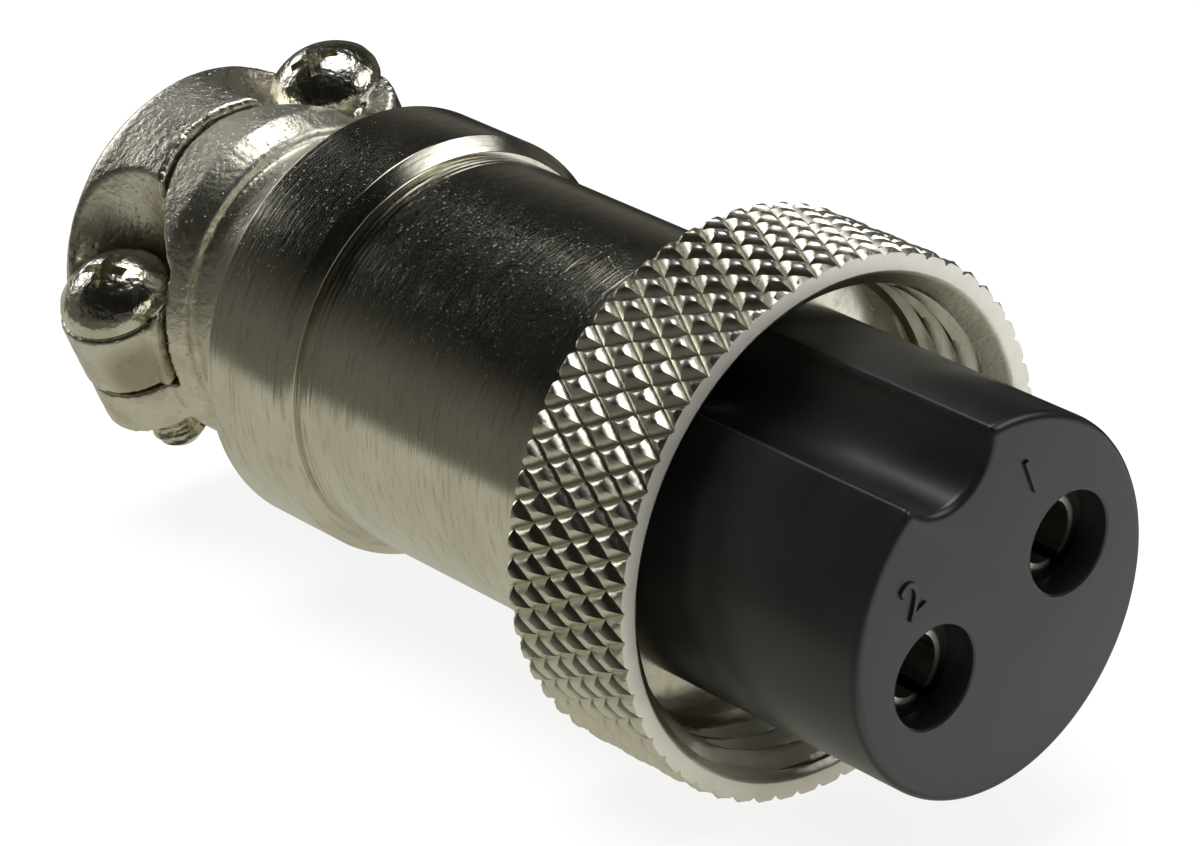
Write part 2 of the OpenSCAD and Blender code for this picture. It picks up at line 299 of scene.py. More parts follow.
def contactFinish():
    look = {
        "bright": (0.95, 0.93, 0.87, 1),
        "worn": (0.80, 0.77, 0.66, 1),
        "dull": (0.10, 0.095, 0.08, 1),  # painted shade on the flat rim outside the lead-in, deep in the insert's hole, where no pin rubs
        "rough": 0.16,
        "axis": 3.05 * mm,
        "socket": 1.13 * mm,
        "lead": 1.27 * mm,
        "outer": 1.7 * mm,
    }
    material, g = newFinish("contactPlate")
    place = g.objectPlace()
    cloud = g.noise(place, 1100, 3.0)
    tint = g.mixColour(cloud.between(0.4, 0.7) * 0.5, look["bright"], look["worn"])
    across = g.stretch(place, 0, 1, 1)
    # painted shade: round each hole, the flat rim between the lead-in and the outer edge takes the dark
    # colour
    for side in (-1, 1):
        away = g.distance(across, tuple(atPlug(0, side * look["axis"], 0)))
        near = away.between(look["socket"], look["lead"]) * away.between(look["outer"] * 1.2, look["outer"])
        tint = g.mixColour(near, tint, look["dull"])
    surface(g, {"Base Color": tint, "Metallic": 1.0, "Roughness": look["rough"] + cloud * 0.12,
                "Normal": g.bump(g.noise(place, 5000, 2.0), 0.004 * mm)})
    return material


def thermosetFinish():
    look = {
        "darker": (0.0055, 0.0056, 0.0054, 1),
        "paler": (0.0085, 0.0087, 0.0082, 1),
        "rough": 0.34,
        "clouds": 260,
        "grain": 3000,
        "grainDepth": 0.003 * mm,
    }
    material, g = newFinish("blackThermoset")
    place = g.objectPlace()
    grain = g.noise(place, look["grain"], 3.0, 0.6)
    cloud = g.noise(place, look["clouds"], 3.0)
    tint = g.mixColour(cloud.between(0.3, 0.7), look["darker"], look["paler"])
    surface(g, {"Base Color": tint, "Roughness": look["rough"] + (cloud - 0.5) * 0.12,
                "Normal": g.bump(grain, look["grainDepth"])})
    return material


turnedNickel = turnedNickelFinish()
knurledNickel = knurledNickelFinish()
litFacedNickel = litFacedNickelFinish()
screwNickel = screwNickelFinish()
plainSteel = plainSteelFinish()
contactPlate = contactFinish()
thermoset = thermosetFinish()
print("finishes made")


# Mesh helpers

meshRules = {
    "cadWeld": 0.001 * mm,           # points of a CAD copy this close become one
    "turnedWeld": 0.0002 * mm,
    "curvePoints": 5,                # along a rounded corner
    "mostOfSide": 0.49,              # share of a side that one rounding may take
}


def newPiece(name, points, faces, material, smoothTo=35):
    mesh = bpy.data.meshes.new(name)
    mesh.from_pydata(points, [], faces)
    mesh.validate()
    mesh.materials.append(material)
    piece = bpy.data.objects.new(name, mesh)
    scene.collection.objects.link(piece)
    smoothShading(piece, smoothTo)
    return piece


def smoothShading(piece, smoothTo):
    piece.data.shade_smooth()
    piece.data.set_sharp_from_angle(angle=math.radians(smoothTo))


def combine(piece, other, operation):
    joined = piece.modifiers.new("join", "BOOLEAN")
    joined.operation = operation
    joined.solver = "EXACT"
    joined.use_self = True
    joined.object = other
    plainMesh(piece)
    bpy.data.objects.remove(other)


def copyOfNode(name, node, material):
    piece = bpy.data.objects.new(name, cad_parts[node].data.copy())
    scene.collection.objects.link(piece)
    work = bmesh.new()
    work.from_mesh(piece.data)
    bmesh.ops.remove_doubles(work, verts=work.verts, dist=meshRules["cadWeld"])
    work.to_mesh(piece.data)
    work.free()
    piece.data.materials.clear()
    piece.data.materials.append(material)
    return piece


def plainMesh(piece, smoothTo=None):  # applies every modifier and drops them
    bpy.context.view_layer.update()
    seen = piece.evaluated_get(bpy.context.evaluated_depsgraph_get())
    piece.data = bpy.data.meshes.new_from_object(seen)
    piece.modifiers.clear()
    if smoothTo:
        smoothShading(piece, smoothTo)
    return piece


def rounded(corners):  # corners are (x, r, radius of rounding); the outline is closed
    outline = []
    most = meshRules["mostOfSide"]
    last = meshRules["curvePoints"] - 1
    for i, (x, r, reach) in enumerate(corners):
        here = Vector((x, r))
        if not reach:
            outline.append(here)
            continue
        before = Vector(corners[i - 1][:2]) - here
        after = Vector(corners[(i + 1) % len(corners)][:2]) - here
        half = before.angle(after) / 2
        run = min(reach / math.tan(half), before.length * most, after.length * most)
        start = here + before.normalized() * run
        end = here + after.normalized() * run
        for k in range(last + 1):  # a quadratic curve close to the arc
            t = k / last
            outline.append(start * (1 - t) ** 2 + here * 2 * t * (1 - t) + end * t ** 2)
    return outline


def recalculate(piece):  # merges what coincides, then turns the faces outward
    work = bmesh.new()
    work.from_mesh(piece.data)
    bmesh.ops.remove_doubles(work, verts=work.verts, dist=meshRules["turnedWeld"])
    bmesh.ops.recalc_face_normals(work, faces=work.faces)
    work.to_mesh(piece.data)
    work.free()


def lathe(name, outline, around, material, smoothTo=35):
    points = []
    for i in range(around):
        turn = math.tau * i / around
        points += [(x, r * math.cos(turn), r * math.sin(turn)) for x, r in outline]
    n = len(outline)
    faces = []
    for i in range(around):
        a = i * n
        b = (i + 1) % around * n
        faces += [(a + j, a + (j + 1) % n, b + (j + 1) % n, b + j) for j in range(n)]
    piece = newPiece(name, points, faces, material, smoothTo)
    recalculate(piece)
    return piece


# Geometry trees

# the zones of a turned outline, kept in an attribute that the trees read
plainZone = 0
knurlZone = 1
threadZone = 2

threadShape = {
    "turnsAdded": 64,                # keeps the count of turns above zero
    "stretch": 1.3,                  # stretched and clipped, the wave has flats at crest and root
    "cut": 0.15,
}


def newTree(name, sizes):  # a tree with inputs for the geometry, for each size and for the finish
    tree = bpy.data.node_groups.new(name, "GeometryNodeTree")
    kinds = {size: "NodeSocketFloat" for size in sizes}
    kinds["Finish"] = "NodeSocketMaterial"
    tree.interface.new_socket("Geometry", in_out="INPUT", socket_type="NodeSocketGeometry")
    keys = {}
    for title, kind in kinds.items():
        keys[title] = tree.interface.new_socket(title, in_out="INPUT", socket_type=kind).identifier
    tree.interface.new_socket("Geometry", in_out="OUTPUT", socket_type="NodeSocketGeometry")
    graph = Graph(tree)
    entry = tree.nodes.new("NodeGroupInput")
    given = {socket.name: Field(graph, socket) for socket in entry.outputs if socket.name}
    return graph, given, keys


def closeTree(graph, given, geometry):
    whole = graph.node("GeometryNodeRealizeInstances", {}, {"Geometry": geometry})
    painted = graph.node("GeometryNodeSetMaterial", {}, {"Geometry": whole, "Material": given["Finish"]})
    graph.node("NodeGroupOutput", {}, {"Geometry": painted})


def applyTree(piece, graph, keys, values):
    modifier = piece.modifiers.new(graph.tree.name, "NODES")
    modifier.node_group = graph.tree
    for name, value in values.items():
        modifier[keys[name]] = value


def turnedPlace(g):  # each point's place, its coordinates, its turn about the axis and its radius
    place = g.node("GeometryNodeInputPosition")
    apart = [g.node("ShaderNodeSeparateXYZ", {}, {0: place}, output=k) for k in range(3)]
    turn = apart[2].math("ARCTAN2", apart[2], apart[1])
    radius = (apart[1] * apart[1] + apart[2] * apart[2]) ** 0.5
    return place, apart, turn, radius


def setRadius(g, geometry, apart, radius, wanted, chosen):
    scale = wanted / radius
    moved = g.node("ShaderNodeCombineXYZ", {}, {0: apart[0], 1: apart[1] * scale, 2: apart[2] * scale})
    return g.node("GeometryNodeSetPosition", {},
                  {"Geometry": geometry, "Selection": chosen, "Position": moved})


def inZone(g, number):
    zone = g.node("GeometryNodeInputNamedAttribute", {"data_type": "FLOAT"}, {"Name": "zone"})
    return zone.math("COMPARE", zone, float(number), 0.1)


def setZones(piece, zones):
    field = piece.data.attributes.new("zone", "FLOAT", "POINT")
    field.data.foreach_set("value", [float(zone) for zone in zones])


def threadProfile(x, turn, pitch, crest, root):  # a right-hand thread's radius at each point
    turns = x / pitch - turn / math.tau + threadShape["turnsAdded"]
    phase = turns.math("FRACT", turns)
    wave = abs(phase * 2 - 1) * threadShape["stretch"] - threadShape["cut"]
    return crest + (root - crest) * wave.highest(0).lowest(1)


def knurlTree():
    g, given, keys = newTree("ringForm", [
        "Diamonds Around", "Diamond Length", "Knurl Depth", "Tip Cut", "Edge Break", "Wear", "Front",
        "Back", "Radius", "Thread Pitch", "Thread Crest", "Thread Root", "Mouth Radius"])
    place, apart, turn, radius = turnedPlace(g)
    x = apart[0]
    along = (given["Front"] - x) / given["Diamond Length"]
    across = turn * given["Diamonds Around"] / math.tau
    first = along + across
    second = along - across
    slopeA = abs(first - first.math("ROUND", first))
    slopeB = abs(second - second.math("ROUND", second))
    height = 1 - slopeA.highest(slopeB) * 2
    crown = 1 - (1 - height) ** 2  # squaring rounds the diamonds off
    crown = crown.lowest(given["Tip Cut"]) / given["Tip Cut"]
    wear = g.noise(place, 1100, 2.0) - 0.5
    knurled = given["Radius"] - given["Knurl Depth"] * (1 - crown) + wear * given["Wear"]
    frontCone = given["Radius"] - given["Edge Break"] + (given["Front"] - x)
    backCone = given["Radius"] - given["Edge Break"] + (x - given["Back"])
    outside = knurled.lowest(frontCone).lowest(backCone).lowest(given["Radius"])
    thread = threadProfile(x, turn, given["Thread Pitch"], given["Thread Crest"], given["Thread Root"])
    mouth = given["Mouth Radius"] - (given["Front"] - x)
    inside = thread.highest(mouth)
    shaped = setRadius(g, given["Geometry"], apart, radius, outside, inZone(g, knurlZone))
    shaped = setRadius(g, shaped, apart, radius, inside, inZone(g, threadZone))
    closeTree(g, given, shaped)
    return g, keys


def shankTree():
    g, given, keys = newTree("shankThread", ["Thread Pitch", "Thread Crest", "Thread Root", "Tip", "Lead"])
    apart, turn, radius = turnedPlace(g)[1:]
    x = apart[0]
    thread = threadProfile(x, turn, given["Thread Pitch"], given["Thread Root"], given["Thread Crest"])
    tipCone = given["Thread Root"] - given["Lead"] + (x - given["Tip"])
    shaped = setRadius(g, given["Geometry"], apart, radius, thread.lowest(tipCone), inZone(g, threadZone))
    closeTree(g, given, shaped)
    return g, keys


def castTree():
    g, given, keys = newTree("castSkin", ["Lumps", "Lump Height", "Grain", "Grain Height", "Swell", "Seed"])
    place = g.node("GeometryNodeInputPosition")
    normal = g.node("GeometryNodeInputNormal")
    lumps = g.node("ShaderNodeTexNoise", {"noise_dimensions": "4D"},
                   {"Vector": place, "W": given["Seed"], "Scale": given["Lumps"], "Detail": 1.0})
    grain = g.node("ShaderNodeTexNoise", {"noise_dimensions": "4D"},
                   {"Vector": place, "W": given["Seed"] + 7, "Scale": given["Grain"], "Detail": 2.0})
    rise = given["Swell"] + (lumps - 0.5) * given["Lump Height"] + (grain - 0.5) * given["Grain Height"]
    offset = g.node("ShaderNodeVectorMath", {"operation": "SCALE"}, {0: normal, "Scale": rise})
    moved = g.node("GeometryNodeSetPosition", {}, {"Geometry": given["Geometry"], "Offset": offset})
    closeTree(g, given, moved)
    return g, keys


knurlGraph, knurlKeys = knurlTree()
shankGraph, shankKeys = shankTree()
castGraph, castKeys = castTree()
print("geometry trees made")


# Coupling ring

ring = {
    "diamonds": 57,                  # knurl diamonds round the ring
    "stepsPerDiamond": 10,           # mesh steps along and across one diamond
    "diamondLength": 1.636 * mm,
    "knurlDepth": 0.27 * mm,
    "tipCut": 0.97,
    "edgeBreak": 0.12 * mm,
    "wear": 0.05 * mm,
    "pitch": 1.0 * mm,
    "crest": 7.46 * mm,
    "root": 8.0 * mm,
    "mouth": 8.2 * mm,
    "threadLength": 3.4 * mm,
    "stepsPerPitch": 12,
    "mouthEdge": 0.05 * mm,          # rounding where the mouth meets the front face
    "runout": 0.02 * mm,
    "reliefLength": 0.6 * mm,
    "lipBore": 6.7 * mm,
    "lipEdge": 0.1 * mm,
    "faceDepth": 0.02 * mm,          # how near the front a face counts as cut
    "smoothTo": 28,                  # degrees
}


def ringOutline():  # (x, r, zone) round the section: knurl from the back, front face, thread, lip
    step = ring["diamondLength"] / ring["stepsPerDiamond"]
    knurlSteps = int((ringFront - ringBack) / step)
    outline = [(ringBack, ringRadius, knurlZone)]
    outline += [(ringFront - k * step, ringRadius, knurlZone) for k in range(knurlSteps, -1, -1)]
    mouthEdge = ring["mouthEdge"]
    midEdge = 0.3 * mouthEdge
    threadStep = ring["pitch"] / ring["stepsPerPitch"]
    threadSteps = round(ring["threadLength"] / threadStep)
    threadShare = 1 - mouthEdge / ring["threadLength"]
    reliefFront = ringFront - ring["threadLength"] - ring["runout"]
    lipFront = reliefFront - ring["reliefLength"]
    bore, edge = ring["lipBore"], ring["lipEdge"]
    mouth = [(ringFront, ring["mouth"] + mouthEdge), (ringFront - midEdge, ring["mouth"] + midEdge)]
    lip = [(reliefFront, ring["root"]), (lipFront, ring["root"]), (lipFront, bore + edge),
           (lipFront - edge, bore), (ringBack + edge, bore), (ringBack, bore + edge),
           (ringBack, ringRadius - 3.5 * edge)]
    outline += [(x, r, plainZone) for x, r in mouth]
    outline += [(ringFront - mouthEdge - k * threadStep * threadShare, ring["crest"], threadZone)
                for k in range(threadSteps + 1)]
    outline += [(x, r, plainZone) for x, r in lip]
    return outline


def splitAlongGroove(along, across):  # which way a knurl quad is cut, so that the grooves stay straight
    first = abs((along + across) % 1 - 0.5)
    second = abs((along - across) % 1 - 0.5)
    return first < second


def makeRing():
    outline = ringOutline()
    n = len(outline)
    around = ring["diamonds"] * ring["stepsPerDiamond"]
    points, zones, faces = [], [], []
    for i in range(around):
        turn = math.tau * i / around
        points += [(x, r * math.cos(turn), r * math.sin(turn)) for x, r, zone in outline]
        zones += [zone for x, r, zone in outline]
    for i in range(around):
        for j in range(n):
            k = (j + 1) % n
            a, b = i * n + j, i * n + k
            c, d = (i + 1) % around * n + k, (i + 1) % around * n + j
            if outline[j][2] == knurlZone and outline[k][2] == knurlZone:
                along = (ringFront - (outline[j][0] + outline[k][0]) / 2) / ring["diamondLength"]
                across = (i + 0.5) / ring["stepsPerDiamond"]
                if splitAlongGroove(along, across):
                    faces += [(a, c, b), (a, d, c)]
                else:
                    faces += [(a, d, b), (b, d, c)]
            else:
                faces.append((a, d, c, b))
    piece = newPiece("couplingRing", points, faces, knurledNickel)
    setZones(piece, zones)
    applyTree(piece, knurlGraph, knurlKeys, {
        "Diamonds Around": float(ring["diamonds"]), "Diamond Length": ring["diamondLength"],
        "Knurl Depth": ring["knurlDepth"], "Tip Cut": ring["tipCut"], "Edge Break": ring["edgeBreak"],
        "Wear": ring["wear"], "Front": ringFront, "Back": ringBack, "Radius": ringRadius,
        "Thread Pitch": ring["pitch"], "Thread Crest": ring["crest"], "Thread Root": ring["root"],
        "Mouth Radius": ring["mouth"], "Finish": knurledNickel})
    plainMesh(piece, ring["smoothTo"])
    # the front face takes the paler finish, painted light that keeps it bright
    piece.data.materials.append(litFacedNickel)
    faceIndex = len(piece.data.materials) - 1
    for face in piece.data.polygons:
        if face.normal.x > 0.9 and face.center.x > ringFront - ring["faceDepth"]:
            face.material_index = faceIndex
    piece.data.transform(rollMatrix)
    return piece


couplingRing = makeRing()
print("coupling ring made:", len(couplingRing.data.polygons), "faces")


# Barrel and rear collar

barrel = {
    "around": 256,
    "frontBore": 5.93 * mm,
    "frontBoreLength": 6.5 * mm,
    "rearBore": 5.6 * mm,
    "tailRadius": 6.1 * mm,
    "edge": 0.15 * mm,
    "tailEdge": 0.1 * mm,
    "soften": 0.05 * mm,
    "grooveGap": 0.22 * mm,          # from one groove line to the next, ahead of the collar
    "grooveCount": 3,
    "grooveWidth": 0.09 * mm,
    "grooveDepth": 0.035 * mm,
    "smoothTo": 30,
}

collar = {
    "around": 256,
    "threadRadius": 6.13 * mm,
    "lipBore": 5.25 * mm,
    "lip": 0.55 * mm,
    "chamfer": 0.45 * mm,
    "backEdge": 0.2 * mm,
    "soften": 0.06 * mm,
    "threadEdge": 0.03 * mm,
    "boreEdge": 0.05 * mm,
    "smoothTo": 50,
}


def makeBarrel():
    b = barrel
    boreEnd = barrelFront - b["frontBoreLength"]
    corners = [(barrelFront, b["frontBore"], 0), (boreEnd, b["frontBore"], 0),
               (boreEnd - b["frontBore"] + b["rearBore"], b["rearBore"], 0),
               (barrelRear, b["rearBore"], b["soften"]), (barrelRear, b["tailRadius"], b["tailEdge"]),
               (collarFront, b["tailRadius"], 0), (collarFront, barrelRadius, b["soften"])]
    for k in range(b["grooveCount"]):
        x = collarFront + b["grooveGap"] * (k + 1)
        half = b["grooveWidth"] / 2
        corners += [(x - half, barrelRadius, 0), (x, barrelRadius - b["grooveDepth"], 0),
                    (x + half, barrelRadius, 0)]
    corners.append((barrelFront, barrelRadius, b["edge"]))
    return lathe("barrelShell", rounded(corners), b["around"], turnedNickel, b["smoothTo"])


def makeCollar():
    c = collar
    soften = c["soften"]
    lipFront = collarBack + c["lip"]
    corners = [(collarFront, c["threadRadius"], c["threadEdge"]), (lipFront, c["threadRadius"], 0),
               (lipFront, c["lipBore"], 0), (collarBack, c["lipBore"], c["boreEdge"]),
               (collarBack, collarRadius - c["backEdge"], soften),
               (collarBack + c["backEdge"], collarRadius, soften),
               (collarFront - c["chamfer"], collarRadius, soften),
               (collarFront, collarRadius - c["chamfer"], soften)]
    return lathe("rearCollar", rounded(corners), c["around"], turnedNickel, c["smoothTo"])


barrelShell = makeBarrel()
rearCollar = makeCollar()
print("barrel and collar made")


# Cable clamp

clamp = {
    "bodyVoxel": 0.10 * mm,
    "strapVoxel": 0.085 * mm,
    "smoothing": 6,
    "strapSwell": 0.05 * mm,         # grows the strap, which leaves a thinner parting line
    "bodyRough": 0.36,
    "strapRough": 0.30,
    # painted shade below the near screw's head, beside its lug: where it centres and how far it reaches
    "paintedLugShadePlace": (-33.3 * mm, -6.4 * mm, 0.9 * mm),
    "paintedLugShadeReach": 1.5 * mm,
    "lumps": 700,
    "lumpHeight": 0.05 * mm,
    "grain": 2600,
    "grainHeight": 0.018 * mm,
    "bodySeed": 3.0,
    "strapSeed": 7.0,
}


def castPiece(name, node, voxel, material, swell, seed):
    piece = copyOfNode(name, node, material)
    remesh = piece.modifiers.new("grid", "REMESH")
    remesh.mode = "VOXEL"
    remesh.voxel_size = voxel
    smooth = piece.modifiers.new("soften", "SMOOTH")
    smooth.factor = 0.5
    smooth.iterations = clamp["smoothing"]
    applyTree(piece, castGraph, castKeys, {
        "Lumps": clamp["lumps"], "Lump Height": clamp["lumpHeight"], "Grain": clamp["grain"],
        "Grain Height": clamp["grainHeight"], "Swell": swell, "Seed": seed, "Finish": material})
    plainMesh(piece)
    piece.data.shade_smooth()
    return piece


# the painted shade's centre, turned with the plug, and its reach
paintedLugShade = (atPlug(*clamp["paintedLugShadePlace"]), clamp["paintedLugShadeReach"])
bodyNickel = castNickelFinish("castNickelBody", clamp["bodyRough"], *paintedLugShade)
strapNickel = castNickelFinish("castNickelStrap", clamp["strapRough"], *paintedLugShade)
clampCasting = castPiece("clampCasting", "clamp_body", clamp["bodyVoxel"], bodyNickel,
                         0.0, clamp["bodySeed"])
clampSaddle = castPiece("clampSaddle", "clamp_strap", clamp["strapVoxel"], strapNickel,
                        clamp["strapSwell"], clamp["strapSeed"])
print("clamp made:", len(clampCasting.data.polygons), len(clampSaddle.data.polygons), "faces")


# Clamp screws

screw = {
    "around": 96,
    "headHeight": 1.5 * mm,
    "headSide": 0.5 * mm,            # height of the head's straight side
    "sideShare": 0.7,                # share of it before the dome's rounding starts
    "headRadius": 1.95 * mm,
    "headEdge": 0.12 * mm,
    "headEdgeRise": 0.10 * mm,
    "domeSteps": 12,
    "shankRadius": 0.975 * mm,
    "rootRadius": 0.80 * mm,
    "pitch": 0.45 * mm,
    "lead": 0.25 * mm,
    "length": 6.3 * mm,
    "stepsPerPitch": 8,
    "stepShare": 0.995,              # keeps the last step clear of the head
    "tipStep": 0.01 * mm,
    "neck": 0.03 * mm,               # plain length under the head
    "recessWide": 0.42 * mm,
    "recessLong": 1.9 * mm,
    "recessDeep": 0.75 * mm,
    "recessFloor": 0.5,              # share of the recess's length at its floor
    "recessMouth": 1.15,             # the same above the crown, where the cutter ends
    "cutterRise": 0.3 * mm,
    "smoothTo": 40,
}


def threaded(point):  # on the shank's side wall, before its thread is cut
    radius = math.hypot(point.y, point.z)
    return point.x < -screw["neck"] and abs(radius - screw["rootRadius"]) < screw["tipStep"]


def recessCutter(quarter):  # one tapered bar of the cross, along +X at the crown
    s = screw
    points = []
    ends = ((s["headHeight"] - s["recessDeep"], s["recessFloor"]),
            (s["headHeight"] + s["cutterRise"], s["recessMouth"]))
    for x, share in ends:
        y = s["recessWide"] / 2 * (0.5 + 0.5 * share)
        z = s["recessLong"] / 2 * share
        points += [(x, -y, -z), (x, y, -z), (x, y, z), (x, -y, z)]
    faces = [(0, 3, 2, 1), (4, 5, 6, 7)] + [(k, (k + 1) % 4, 4 + (k + 1) % 4, 4 + k) for k in range(4)]
    cutter = newPiece("recessCutter", points, faces, screwNickel)
    recalculate(cutter)
    cutter.data.transform(Matrix.Rotation(math.radians(quarter), 4, "X"))
    return cutter


def makeScrew(name, node, turnDegrees):
    s = screw
    low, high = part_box(node)
    middle = (low + high) / 2
    roll = rollMatrix.to_3x3()
    corners = [v.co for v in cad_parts[node].data.vertices]
    # the head's top is the highest point along the screw's own axis
    up = roll @ Vector((0, 0, 1))
    seat = max(up.dot(corner) for corner in corners) - s["headHeight"]
    side = sum((roll.transposed() @ corner).y for corner in corners) / len(corners)
    dome = s["headHeight"] - s["headSide"]
    domeRadius = (s["headRadius"] ** 2 + dome ** 2) / (2 * dome)
    edgeTurn = math.asin(s["headRadius"] / domeRadius)
    # the outline is (height, radius) from the tip to the crown, turned about the screw's axis
    outline = [(-s["length"], 0.0), (-s["length"], s["rootRadius"] - s["lead"])]
    step = s["pitch"] / s["stepsPerPitch"]
    count = round(s["length"] / step)
    outline += [(-s["length"] + s["tipStep"] + k * step * s["stepShare"], s["rootRadius"])
                for k in range(count)]
    outline += [(0.0, s["rootRadius"]), (0.0, s["headRadius"] - s["headEdge"]),
                (s["headEdgeRise"], s["headRadius"]), (s["headSide"] * s["sideShare"], s["headRadius"])]
    for k in range(1, s["domeSteps"] + 1):
        t = edgeTurn * (1 - k / s["domeSteps"])
        outline.append((s["headHeight"] - domeRadius + domeRadius * math.cos(t), domeRadius * math.sin(t)))
    piece = lathe(name, outline, s["around"], screwNickel, s["smoothTo"])
    setZones(piece, [threadZone if threaded(v.co) else plainZone for v in piece.data.vertices])
    applyTree(piece, shankGraph, shankKeys, {
        "Thread Pitch": s["pitch"], "Thread Crest": s["shankRadius"], "Thread Root": s["rootRadius"],
        "Tip": -s["length"], "Lead": s["lead"], "Finish": screwNickel})
    plainMesh(piece)
    # the recess is cut while the axis is still X, then the screw stands up and goes to its place
    for quarter in (0, 90):
        combine(piece, recessCutter(quarter), "DIFFERENCE")
    smoothShading(piece, s["smoothTo"])
    stand = Matrix.Rotation(math.radians(-90), 4, "Y") @ Matrix.Rotation(math.radians(turnDegrees), 4, "X")
    place = Matrix.Translation(Vector((middle.x, side, seat)))
    piece.data.transform(rollMatrix @ place @ stand)
    return piece


nearScrew = makeScrew("clampScrewNear", "clamp_screw_1", 20)
farScrew = makeScrew("clampScrewFar", "clamp_screw_2", 55)
print("screws made")


# Insert and its numerals

insert = {
    "keyOffset": 6.6 * mm,
    "keyRadius": 1.95 * mm,
    "keyCorner": 0.18 * mm,          # rounding along the keyway's two edges
    "frontEdge": 0.3 * mm,
    "noseLength": 10.2 * mm,
    "rearRadius": 5.04 * mm,
    "holeAxis": 3.05 * mm,
    "holeRadius": 1.625 * mm,
    "holeFlare": 0.09 * mm,
    "stemHoleRadius": 1.2 * mm,
    "lockX": -14.9 * mm,
    "lockRadius": 0.83 * mm,
    "lockFloor": 3.87 * mm,
    "lockTop": 7 * mm,
    "beyond": 1 * mm,                # how far a cutter stands out
    "weld": 0.2 * mm,                # how far the rear reaches into the nose
    "mainSteps": 170,
    "keySteps": 40,
    "cornerSteps": 6,
    "edgeSteps": 6,
    "stemSteps": 160,
    "holeSteps": 72,
    "pitSteps": 32,
    "smoothTo": 25,
    "numeralHeight": 1.25 * mm,
    "numeralRise": 0.08 * mm,
    "numeralEdge": 0.02 * mm,
    "capShare": 0.70,                # height of a capital as a share of the letter size
    "numerals": (("1", 2.50 * mm, 3.24 * mm), ("2", -2.84 * mm, 3.09 * mm)),
}


def arc(centre, radius, start, end, steps):  # points on an arc across the axis, without its last one
    return [(centre[0] + radius * math.cos(start + (end - start) * k / steps),
             centre[1] + radius * math.sin(start + (end - start) * k / steps)) for k in range(steps)]


def noseOutline(inset):  # the nose's section with its keyway, all moved inward by inset
    n = insert
    outer = noseRadius - inset
    key = n["keyRadius"] + inset
    corner = n["keyCorner"]
    d = n["keyOffset"]
    z = ((outer - corner) ** 2 - (key + corner) ** 2 + d ** 2) / (2 * d)
    y = math.sqrt((outer - corner) ** 2 - z ** 2)
    turn = math.atan2(z, y)
    toKey = math.atan2(d - z, y)
    loop = arc((0, 0), outer, turn, -math.pi - turn, n["mainSteps"])
    loop += arc((-y, z), corner, math.pi - turn, toKey, n["cornerSteps"])
    loop += arc((0, d), key, toKey - math.pi, -toKey, n["keySteps"])
    loop += arc((y, z), corner, math.pi - toKey, turn, n["cornerSteps"])
    return loop


def makeNose():
    edge = insert["frontEdge"]
    steps = insert["edgeSteps"]
    loops = [(-insert["noseLength"], 0.0)]
    for k in range(steps + 1):
        t = math.radians(90 * k / steps)
        loops.append((edge * (math.sin(t) - 1), edge * (1 - math.cos(t))))
    points, faces = [], []
    for x, inset in loops:
        points += [(x, y, z) for y, z in noseOutline(inset)]
    n = len(points) // len(loops)
    for k in range(len(loops) - 1):
        for j in range(n):
            m = (j + 1) % n
            faces.append((k * n + j, k * n + m, (k + 1) * n + m, (k + 1) * n + j))
    faces.append(tuple(range(n)))
    faces.append(tuple(range((len(loops) - 1) * n, len(loops) * n)))
    piece = newPiece("insertMoulding", points, faces, thermoset)
    recalculate(piece)
    return piece


def rod(name, outline, middle, around):  # a lathe form along X, moved across the axis
    piece = lathe(name, outline, around, thermoset)
    piece.data.transform(Matrix.Translation(Vector(middle)))
    return piece


def makeInsert():
    n = insert
    piece = makeNose()
    back = span("insert")[0]
    flange = -n["noseLength"]
    beyond = n["beyond"]
    stemFront = flange + n["weld"]
    stem = [(back, 0), (back, n["rearRadius"]), (stemFront, n["rearRadius"]), (stemFront, 0)]
    combine(piece, rod("stem", stem, (0, 0, 0), n["stemSteps"]), "UNION")
    wide, flare = n["holeRadius"], n["holeFlare"]
    for side in (-1, 1):
        hole = [(back - beyond, 0), (back - beyond, n["stemHoleRadius"]), (flange, n["stemHoleRadius"]),
                (flange, wide), (-flare, wide), (-flare * 0.4, wide + flare * 0.25), (0, wide + flare),
                (beyond, wide + flare), (beyond, 0)]
        combine(piece, rod("hole", hole, (0, side * n["holeAxis"], 0), n["holeSteps"]), "DIFFERENCE")
    low, high = n["lockFloor"], n["lockTop"]
    pit = rod("pit", [(low, 0), (low, n["lockRadius"]), (high, n["lockRadius"]), (high, 0)],
              (0, 0, 0), n["pitSteps"])
    pit.data.transform(Matrix.Translation((n["lockX"], 0, 0)) @ Matrix.Rotation(math.radians(-90), 4, "Y"))
    combine(piece, pit, "DIFFERENCE")
    smoothShading(piece, n["smoothTo"])
    piece.data.transform(rollMatrix)
    return piece


